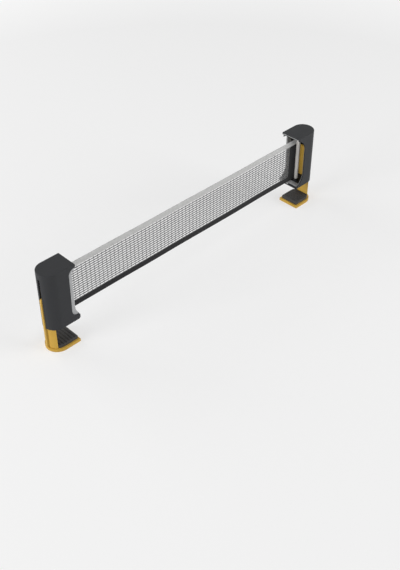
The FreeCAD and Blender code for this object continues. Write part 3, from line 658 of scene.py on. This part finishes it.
def netting_tree():
    """Netting of level and upright threads in the plane Y = 0."""
    tree, writer, given = start_tree(
        "Netting",
        {
            "Start": "Float", "Low": "Float", "Columns": "Int", "Rows": "Int",
            "Column Pitch": "Float", "Row Pitch": "Float", "Upright": "Float", "Level": "Float",
            "Flatness": "Float", "Knot": "Float", "Unevenness": "Float", "Tuck": "Float",
            "Material": "Material",
        },
    )
    math_of = writer.math
    start, low, tuck = given["Start"], given["Low"], given["Tuck"]
    columns, rows = given["Columns"], given["Rows"]
    column_pitch, row_pitch = given["Column Pitch"], given["Row Pitch"]
    far = math_of("ADD", start, math_of("MULTIPLY", columns, column_pitch))
    high = math_of("ADD", low, math_of("MULTIPLY", rows, row_pitch))
    level_lines = copied_lines(
        writer, writer.vector(start, z=low), writer.vector(far, z=low),
        math_of("MULTIPLY", columns, THREAD_STEPS), math_of("ADD", rows, 1.0),
        writer.vector(z=row_pitch),
    )
    upright_lines = copied_lines(
        writer, writer.vector(start, z=math_of("SUBTRACT", low, tuck)),
        writer.vector(start, z=math_of("ADD", high, tuck)),
        math_of("MULTIPLY", rows, THREAD_STEPS), math_of("ADD", columns, 1.0),
        writer.vector(column_pitch),
    )
    here = writer.add("ShaderNodeSeparateXYZ", {0: writer.made("GeometryNodeInputPosition")}).outputs
    joined = writer.add("GeometryNodeJoinGeometry")
    for lines, distance, pitch, width in (
        (level_lines, math_of("SUBTRACT", here[0], start), column_pitch, given["Level"]),
        (upright_lines, math_of("SUBTRACT", here[2], low), row_pitch, given["Upright"]),
    ):
        threads = swept_threads(
            writer, lines, math_of("MULTIPLY", width, 0.5), given["Flatness"],
            crossing_swell(writer, distance, pitch, given["Knot"]), given["Unevenness"],
        )
        writer.feed(joined, {0: threads})
    end_tree(writer, joined.outputs[0], given["Material"])
    return tree


def stitch_tree():
    """Stitches that arch over a tape, in a row on each of its two faces."""
    tree, writer, given = start_tree(
        "Stitches",
        {
            "Start": "Vector", "Step": "Vector", "Stitches": "Int", "Stitch": "Vector",
            "Proud": "Float", "Thread": "Float", "Material": "Material",
        },
    )
    half = writer.made("ShaderNodeVectorMath", {0: given["Stitch"], "Scale": 0.5}, operation="SCALE")
    radius = writer.math("MULTIPLY", given["Thread"], 0.5)
    section = {"Resolution": STITCH_SIDES, "Radius": radius}
    thread = writer.made("GeometryNodeCurvePrimitiveCircle", section)
    row = writer.made(
        "GeometryNodeMeshLine",
        {"Count": given["Stitches"], "Start Location": given["Start"], "Offset": given["Step"]},
    )
    joined = writer.add("GeometryNodeJoinGeometry")
    for face in (1.0, -1.0):
        out = writer.math("MULTIPLY", given["Proud"], face)
        depth = writer.math("MULTIPLY", given["Thread"], face)
        sunk = writer.vector(y=writer.math("SUBTRACT", out, depth))
        arch = {
            "Resolution": STITCH_STEPS,
            "Start": sunk,
            "Middle": writer.made("ShaderNodeVectorMath", {0: half, 1: writer.vector(y=out)}),
            "End": writer.made("ShaderNodeVectorMath", {0: given["Stitch"], 1: sunk}),
        }
        line = writer.made("GeometryNodeCurveQuadraticBezier", arch)
        sewn = writer.made("GeometryNodeCurveToMesh", {0: line, 1: thread})
        stitches = writer.made("GeometryNodeInstanceOnPoints", {0: row, 2: sewn})
        writer.feed(joined, {0: stitches})
    end_tree(writer, joined.outputs[0], given["Material"])
    return tree


def fold_outline(leg, half, ply):
    """The section of a folded tape as (out of plane, towards the fold): a slim U, round at its
    fold and pinched where it is sewn."""
    pinch_at, pinch = 0.16, 0.82
    stations = (0.0, pinch_at, 0.45, 0.8, 1.0)
    straight = leg - half

    def side(reach, sign):
        return [
            (sign * reach * (pinch if station == pinch_at else 1.0), straight * station)
            for station in stations
        ]

    def bend(reach):
        angles = [math.pi * step / FOLD_STEPS for step in range(1, FOLD_STEPS)]
        return [(reach * math.cos(a), straight + reach * math.sin(a)) for a in angles]

    outer = side(half, 1) + bend(half) + side(half, -1)[::-1]
    inner_reach = half - ply
    inner = side(inner_reach, -1) + bend(inner_reach)[::-1] + side(inner_reach, 1)[::-1]
    return outer + inner


def folded_tape(name, start, end, edge, leg, half, ply, steps):
    """A tape folded over the net's edge, as one mesh with its own UV map in metres. Start and end
    are places along the tape's free edges, and edge points from there to the fold."""
    outline = fold_outline(leg, half, ply)
    run = end - start
    out = run.cross(edge).normalized()
    lengths = [0.0]
    for before, after in zip(outline, outline[1:] + outline[:1]):
        lengths.append(lengths[-1] + math.dist(before, after))
    cloth = bmesh.new()
    sewn = cloth.loops.layers.uv.new("Cloth")
    rings = [
        [cloth.verts.new(start + run * (step / steps) + out * o + edge * e) for o, e in outline]
        for step in range(steps + 1)
    ]
    size = len(outline)
    for step in range(steps):
        for index in range(size):
            following = (index + 1) % size
            corners = (
                (rings[step][index], step, index), (rings[step][following], step, index + 1),
                (rings[step + 1][following], step + 1, index + 1),
                (rings[step + 1][index], step + 1, index),
            )
            face = cloth.faces.new([corner[0] for corner in corners])
            for loop, (_, row, column) in zip(face.loops, corners):
                loop[sewn].uv = (run.length * row / steps, lengths[column])
    for ring, turned in ((rings[0], True), (rings[-1], False)):
        for index in range(size // 2 - 1):
            corners = [ring[index], ring[index + 1], ring[size - 2 - index], ring[size - 1 - index]]
            cloth.faces.new(corners if turned else corners[::-1])
    bmesh.ops.recalc_face_normals(cloth, faces=cloth.faces)
    mesh = bpy.data.meshes.new(name)
    cloth.to_mesh(mesh)
    cloth.free()
    mesh.shade_smooth()
    mesh.set_sharp_from_angle(angle=CLOTH_CREASE_ANGLE)
    return add_object(name, mesh)


def rippled(thing, ripple):
    """Moves a piece of the taut net out of its plane, less towards the net's two ends."""
    low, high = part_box("net_mesh")
    for vertex in thing.data.vertices:
        along = vertex.co.x
        if low.x < along < high.x:
            part = (along - low.x) / (high.x - low.x)
            held = math.sin(math.pi * part) ** 0.5
            wave = noise.noise(Vector((along * RIPPLE_SCALE, *RIPPLE_LINE)))
            vertex.co.y += ripple * held * 2 * wave


def roll_sizes():
    """The net's roll on the spool: its centre, the radius of its middle and its thickness."""
    low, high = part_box("net_roll")
    tube_low, tube_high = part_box("spool_tube")
    tube_radius = (tube_high.x - tube_low.x) / 2
    wall = (high.x - low.x) / 2 - tube_radius
    return (low + high) / 2, tube_radius + wall / 2, wall


def wrapped(thing, axis, radius):
    """Winds a flat piece round the spool: its place along X becomes a turn round the axis."""
    for vertex in thing.data.vertices:
        angle = vertex.co.x / radius
        reach = radius + vertex.co.y
        vertex.co.x = axis.x + reach * math.sin(angle)
        vertex.co.y = axis.y - reach * math.cos(angle)


class NETSET_OT_stage(bpy.types.Operator):
    """Sets the floor, the lamps and the camera"""

    bl_idname = "net_set.stage"
    bl_label = "Stage"

    def execute(self, context):
        settings = context.scene.net_set_stage
        self.add_floor(settings)
        self.add_sky(context, settings)
        self.add_lamps(settings)
        self.add_camera(context, settings)
        return {"FINISHED"}

    def seen(self, writer):
        """1 for light that goes to the eye, also by way of gloss or glass, and 0 otherwise."""
        path = writer.add("ShaderNodeLightPath").outputs
        gloss = writer.math("MAXIMUM", path["Is Glossy Ray"], path["Is Transmission Ray"])
        return writer.math("MAXIMUM", path["Is Camera Ray"], gloss)

    def add_floor(self, settings):
        """A wide pale floor, which for the eye fades to white with its distance from the net."""
        mesh = bpy.data.meshes.new("studio_floor")
        signs = ((-1, -1), (1, -1), (1, 1), (-1, 1))
        corners = [(x * FLOOR_REACH, y * FLOOR_REACH, 0) for x, y in signs]
        mesh.from_pydata(corners, [], [(0, 1, 2, 3)])
        floor = add_object("studio_floor", mesh)
        material, writer, shader = start_material("pale_floor")
        place = writer.add("ShaderNodeTexCoord").outputs["Object"]
        distance = writer.add("ShaderNodeVectorMath", {0: place}, operation="LENGTH").outputs["Value"]
        near, far = settings.floor_near, settings.floor_far
        glow = writer.mapped(distance, near, far, settings.floor_lift, 1.0)
        seen = self.seen(writer)
        levels = (settings.floor_paint, settings.floor_seen)
        paints = [(level, level, level, 1.0) for level in levels]
        surface = {
            "Base Color": mixed(writer, seen, *paints),
            "Roughness": 0.9,
            "Specular IOR Level": 0.1,
            "Emission Color": WHITE,
            "Emission Strength": writer.math("MULTIPLY", seen, glow),
        }
        writer.feed(shader, surface)
        mesh.materials.append(material)

    def add_sky(self, context, settings):
        """Even light from all round, which is white for the eye."""
        world = bpy.data.worlds.new("studio")
        world.use_nodes = True
        world.node_tree.nodes.clear()
        writer = TreeWriter(world.node_tree)
        dim = writer.made("ShaderNodeBackground", {"Color": WHITE, "Strength": settings.sky})
        white = writer.made("ShaderNodeBackground", {"Color": WHITE, "Strength": 1.0})
        either = writer.made("ShaderNodeMixShader", {0: self.seen(writer), 1: dim, 2: white})
        writer.add("ShaderNodeOutputWorld", {0: either})
        context.scene.world = world

    def add_lamps(self, settings):
        """Large soft lamps that all face the middle of the net."""
        # Name, place, power and width
        lamps = (
            ("top_lamp", (-0.35, -0.45, 1.7), settings.top, 1.6),
            ("front_lamp", (2.1, -2.8, 1.0), settings.front, 2.2),
            ("side_lamp", (-3.6, 0.4, 1.0), settings.side, 1.8),
            ("back_lamp", (-0.9, 3.1, 1.0), settings.back, 2.2),
        )
        for name, place, power, width in lamps:
            light = bpy.data.lights.new(name, "AREA")
            light.shape = "SQUARE"
            light.size = width
            light.energy = power
            lamp = add_object(name, light)
            lamp.location = place
            lamp.rotation_euler = Vector(place).to_track_quat("Z", "Y").to_euler()

    def add_camera(self, context, settings):
        """The camera, at the photograph's place and angle."""
        lens = bpy.data.cameras.new("photo_camera")
        lens.lens = settings.lens
        lens.sensor_width = SENSOR_WIDTH
        camera = add_object("photo_camera", lens)
        camera.location = settings.eye
        level = math.cos(settings.dip)
        forward = Vector(
            (
                level * math.cos(settings.heading), level * math.sin(settings.heading),
                -math.sin(settings.dip),
            )
        )
        camera.rotation_euler = forward.to_track_quat("-Z", "Y").to_euler()
        context.scene.camera = camera
        context.scene.view_settings.view_transform = "Standard"


class NETSET_OT_housings(bpy.types.Operator):
    """Finishes the housings, base plates, liners and screws"""

    bl_idname = "net_set.housings"
    bl_label = "Housings"

    def execute(self, context):
        for side in SIDES:
            dress(side + "_case_shell", "housing_plastic")
            dress(side + "_base_plate", "housing_plastic")
            dress(side + "_mouth_liner", "liner_plastic")
            dress(side + "_base_screws", "bright_steel")
        return {"FINISHED"}


class NETSET_OT_jaws(bpy.types.Operator):
    """Builds the yellow jaws and the ribbed rubber blocks on their feet"""

    bl_idname = "net_set.jaws"
    bl_label = "Jaws"

    def execute(self, context):
        sizes = context.scene.net_set_jaw
        for side in SIDES:
            jaw = side + "_jaw"
            rounded_piece(jaw, side + "_sliding_jaw", sizes.edge, jaw, "jaw_plastic")
            grip, node = side + "_ribbed_grip", side + "_grip_pad"
            rounded_piece(grip, node, sizes.rubber_edge, jaw, "grip_rubber")
        return {"FINISHED"}


class NETSET_OT_table_pads(bpy.types.Operator):
    """Builds the thin rubber sheets that rest on the table"""

    bl_idname = "net_set.table_pads"
    bl_label = "Table pads"

    def execute(self, context):
        width = context.scene.net_set_housing.pad_edge
        for side in SIDES:
            pad, node = side + "_table_rubber", side + "_table_pad"
            rounded_piece(pad, node, width, side + "_post", "pad_rubber")
        return {"FINISHED"}


class NETSET_OT_springs(bpy.types.Operator):
    """Winds the jaw springs and the spring inside the spool"""

    bl_idname = "net_set.springs"
    bl_label = "Springs"

    def execute(self, context):
        sizes = context.scene.net_set_springs
        tree = coil_tree()
        for side in SIDES:
            node = side + "_jaw_springs"
            low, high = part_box(node)
            apart = (high.y - low.y) - (high.x - low.x)
            values = {
                "Springs": 2, "Place": ((low.x + high.x) / 2, -apart / 2, 0.0),
                "Spacing": apart, "Wire": sizes.wire, "Turns": sizes.turns,
            }
            springs = self.wound(side + "_coil_springs", tree, node, sizes, values)
            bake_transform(springs)
            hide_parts(node)
        low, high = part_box("spool_spring")
        values = {
            "Springs": 1, "Place": ((low.x + high.x) / 2, (low.y + high.y) / 2, 0.0),
            "Spacing": 0.0, "Wire": sizes.winding_wire, "Turns": sizes.winding_turns,
        }
        winding = self.wound("winding_spring", tree, "spool_spring", sizes, values)
        settled(winding, "spool", "spring_steel", "spool_spring")
        return {"FINISHED"}

    def wound(self, name, tree, node, sizes, values):
        """Springs as wide along X and as high as their node."""
        low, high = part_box(node)
        common = {
            "Coil Radius": (high.x - low.x) / 2, "Low": low.z, "High": high.z,
            "Closed": sizes.closed, "Material": finish("bright_steel"),
        }
        springs = grown(name, tree, {**values, **common})
        springs.data.shade_smooth()
        return springs


class NETSET_OT_spool(bpy.types.Operator):
    """Finishes the spool, its axle and the net's end rod"""

    bl_idname = "net_set.spool"
    bl_label = "Spool and rod"

    def execute(self, context):
        for node, finish_name in (
            ("spool_axle", "bright_steel"), ("spring_collar", "bush_plastic"),
            ("spool_tube", "spool_plastic"), ("spool_lower_bush", "bush_plastic"),
            ("spool_upper_bush", "bush_plastic"), ("net_end_rod", "rod_plastic"),
        ):
            dress(node, finish_name)
        return {"FINISHED"}


def knitted(name, tree, sizes, start, end):
    """Netting from one place along X to another, as high as the model's own."""
    low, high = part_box("net_mesh")
    columns = round((end - start) / sizes.column_pitch)
    values = {
        "Start": start,
        "Low": low.z,
        "Columns": columns,
        "Rows": math.ceil((high.z - low.z) / sizes.row_pitch),
        "Column Pitch": (end - start) / columns,
        "Row Pitch": sizes.row_pitch,
        "Material": finish("net_yarn"),
    }
    for label in ("Upright", "Level", "Flatness", "Knot", "Unevenness", "Tuck"):
        values[label] = getattr(sizes, label.lower())
    netting = grown(name, tree, values)
    netting.data.shade_smooth()
    return netting


def follow_pull(thing):
    """Gives a piece of the net its own copy of its mesh."""
    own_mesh(thing)


class NETSET_OT_netting(bpy.types.Operator):
    """Knits the netting between the tapes and the turns of it on the spool"""

    bl_idname = "net_set.netting"
    bl_label = "Netting"

    def execute(self, context):
        sizes = context.scene.net_set_net
        tree = netting_tree()
        low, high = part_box("net_mesh")
        netting = knitted("netting", tree, sizes, low.x, high.x)
        rippled(netting, sizes.ripple)
        settled(netting, "right_post", "net_thread", "net_mesh")
        follow_pull(netting)
        axis, radius, _ = roll_sizes()
        turn = FULL_TURN * radius
        roll = knitted("roll_netting", tree, sizes, 0.0, turn)
        wrapped(roll, axis, radius)
        settled(roll, "spool", "net_thread", "net_roll")
        return {"FINISHED"}


class NETSET_OT_tapes(bpy.types.Operator):
    """Folds the white and black tapes and the end hem over the netting, and sews them"""

    bl_idname = "net_set.tapes"
    bl_label = "Tapes and hem"

    def execute(self, context):
        sizes = context.scene.net_set_net
        stitches = stitch_tree()
        for colour, node, rising in (
            ("white", "net_top_tape", True), ("black", "net_bottom_tape", False),
        ):
            name = colour + "_tape"
            low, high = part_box(node)
            leg, half = high.z - low.z, (high.y - low.y) / 2
            free, fold = (low.z, UP) if rising else (high.z, -UP)
            start, end = Vector((low.x, 0, free)), Vector((high.x, 0, free))
            tape = folded_tape(name, start, end, fold, leg, half, sizes.ply, TAPE_STEPS)
            paint(tape, colour + "_weave")
            seam = free + fold.z * sizes.stitch_inset
            start, end = Vector((low.x, 0, seam)), Vector((high.x, 0, seam))
            sewn = self.sewn_line(sizes, stitches, name, start, end, half, colour)
            for piece in (tape, sewn):
                rippled(piece, sizes.ripple)
                settled(piece, "right_post", name, node)
                follow_pull(piece)
            self.wind_tape(sizes, colour, free, fold, leg)
        self.fold_hem(sizes, stitches)
        return {"FINISHED"}

    def sewn_line(self, sizes, tree, name, start, end, half, colour):
        """A line of stitches on both faces of a tape."""
        run = end - start
        way = run.normalized()
        values = {
            "Start": start + way * (sizes.stitch_pitch - sizes.stitch) / 2,
            "Step": way * sizes.stitch_pitch,
            "Stitches": int(run.length / sizes.stitch_pitch),
            "Stitch": way * sizes.stitch,
            "Proud": half + sizes.sewing_thread / 2,
            "Thread": sizes.sewing_thread,
            "Material": finish(colour + "_yarn"),
        }
        return grown(name + "_stitches", tree, values)

    def wind_tape(self, sizes, colour, free, fold, leg):
        """The turn of a tape that stays on the spool."""
        name = colour + "_tape"
        axis, radius, wall = roll_sizes()
        length = FULL_TURN * radius
        start, end = Vector((0, 0, free)), Vector((length, 0, free))
        half = wall * ROLLED_TAPE_SHARE
        turn = folded_tape("roll_" + name, start, end, fold, leg, half, sizes.ply, ROLL_STEPS)
        wrapped(turn, axis, radius)
        paint(turn, colour + "_weave")
        settled(turn, "spool", name, "net_roll")

    def fold_hem(self, sizes, stitches):
        """The black hem over the upright end of the net."""
        low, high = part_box("net_end_hem")
        leg, half = high.x - low.x, (high.y - low.y) / 2
        start, end = Vector((low.x, 0, low.z)), Vector((low.x, 0, high.z))
        along = Vector((1, 0, 0))
        hem = folded_tape("end_hem", start, end, along, leg, half, sizes.ply, HEM_STEPS)
        paint(hem, "black_weave")
        seam = low.x + sizes.stitch_inset
        start, end = Vector((seam, 0, low.z)), Vector((seam, 0, high.z))
        sewn = self.sewn_line(sizes, stitches, "end_hem", start, end, half, "black")
        for piece in (hem, sewn):
            settled(piece, "right_post", "black_tape", "net_end_hem")


OPERATORS = (
    NETSET_OT_stage,
    NETSET_OT_housings,
    NETSET_OT_jaws,
    NETSET_OT_table_pads,
    NETSET_OT_springs,
    NETSET_OT_spool,
    NETSET_OT_netting,
    NETSET_OT_tapes,
)


class NETSET_PT_pieces(bpy.types.Panel):
    """Lists the operators that build the net set, and their settings"""

    bl_idname = "NETSET_PT_pieces"
    bl_label = "Net Set"
    bl_space_type = "VIEW_3D"
    bl_region_type = "UI"
    bl_category = "Net Set"

    def draw(self, context):
        for operator in OPERATORS:
            self.layout.operator(operator.bl_idname)
        for name in SETTINGS:
            group = getattr(context.scene, name)
            box = self.layout.box()
            for setting in group.__annotations__:
                box.prop(group, setting)


SETTINGS = {
    "net_set_housing": HousingFinish,
    "net_set_jaw": JawFinish,
    "net_set_springs": SpringSizes,
    "net_set_spool": SpoolFinish,
    "net_set_net": NetSizes,
    "net_set_stage": StageSettings,
}


def register():
    for group in SETTINGS.values():
        bpy.utils.register_class(group)
    for name, group in SETTINGS.items():
        setattr(bpy.types.Scene, name, bpy.props.PointerProperty(type=group))
    for operator in OPERATORS:
        bpy.utils.register_class(operator)
    bpy.utils.register_class(NETSET_PT_pieces)


def unregister():
    bpy.utils.unregister_class(NETSET_PT_pieces)
    for operator in reversed(OPERATORS):
        bpy.utils.unregister_class(operator)
    for name in SETTINGS:
        delattr(bpy.types.Scene, name)
    for group in reversed(SETTINGS.values()):
        bpy.utils.unregister_class(group)


def main():
    register()
    bpy.ops.net_set.stage()
    bpy.ops.net_set.housings()
    bpy.ops.net_set.jaws()
    bpy.ops.net_set.table_pads()
    bpy.ops.net_set.springs()
    bpy.ops.net_set.spool()
    bpy.ops.net_set.netting()
    bpy.ops.net_set.tapes()


if __name__ == "__main__":
    main()
